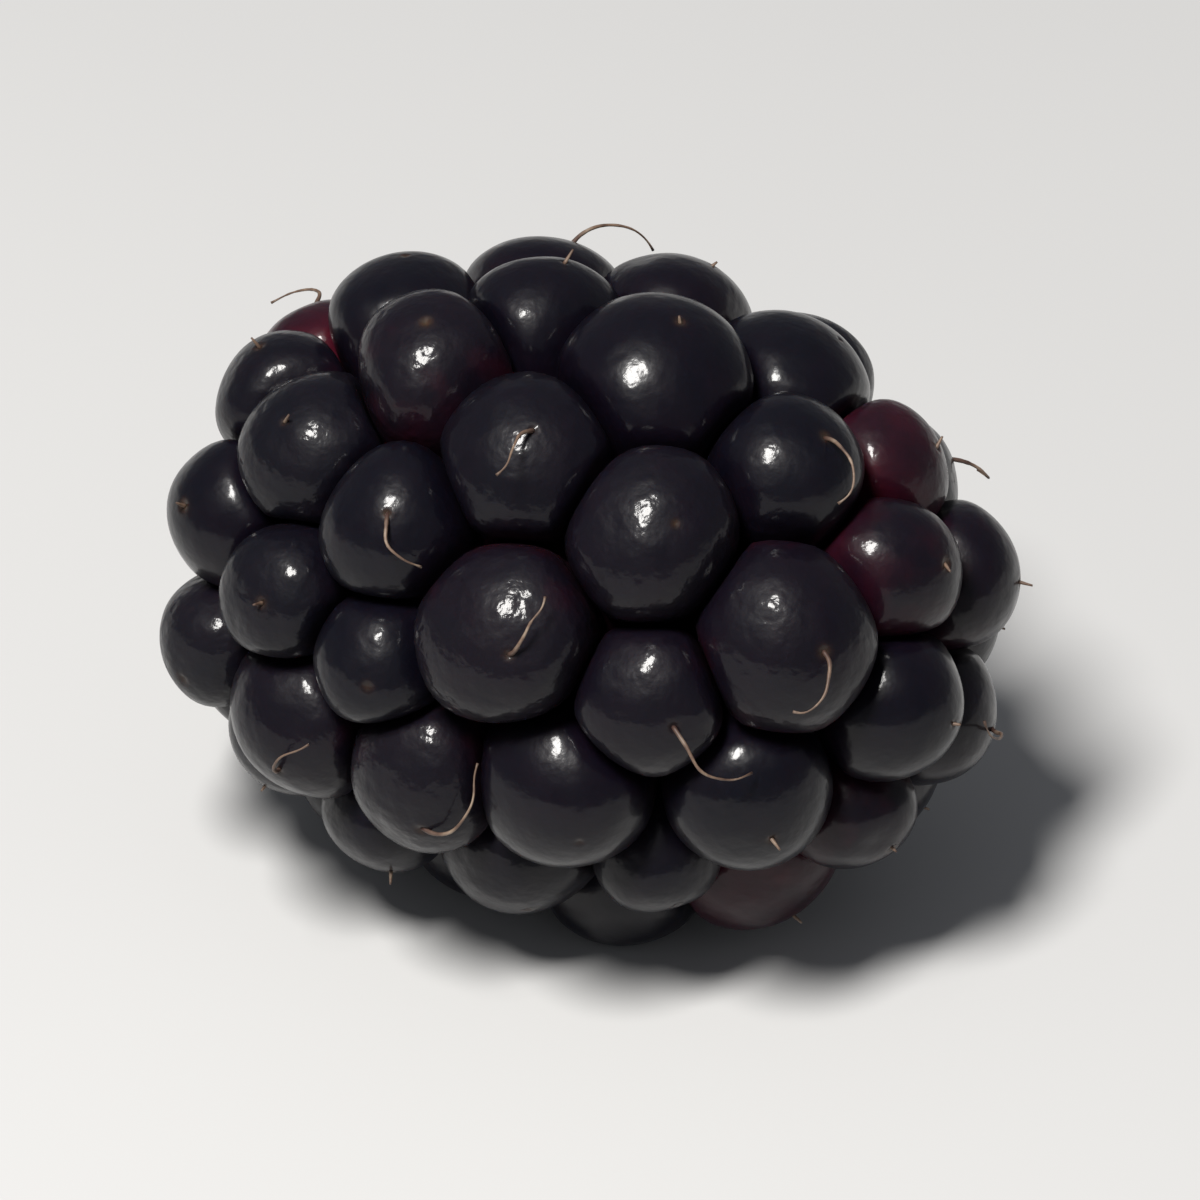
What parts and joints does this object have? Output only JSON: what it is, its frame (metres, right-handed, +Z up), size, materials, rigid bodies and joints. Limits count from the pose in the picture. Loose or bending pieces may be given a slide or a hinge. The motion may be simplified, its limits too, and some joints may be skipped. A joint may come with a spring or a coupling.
{
  "type": "bramble berry",
  "caption": "Ripe bramble berry picked without its calyx, lying on its side: glossy near-black drupelets round a core whose pale end shows at the stem end.",
  "frame": {"origin": "on the surface that the berry lies on, under the middle of its box", "axes": "+X towards the tip of the berry, -X towards its stem end, +Z up"},
  "size_m": [0.0258, 0.021, 0.0209],
  "materials": {
    "drupelet_skin": "thin glossy fruit skin, near-black with a purple cast and wine red where it is less ripe",
    "receptacle_flesh": "matt pale fibrous plant flesh, stained by juice at its rim"
  },
  "bodies": {
    "root": {"drupelets": "drupelet_skin", "receptacle": "receptacle_flesh"}
  },
  "joints": []
}
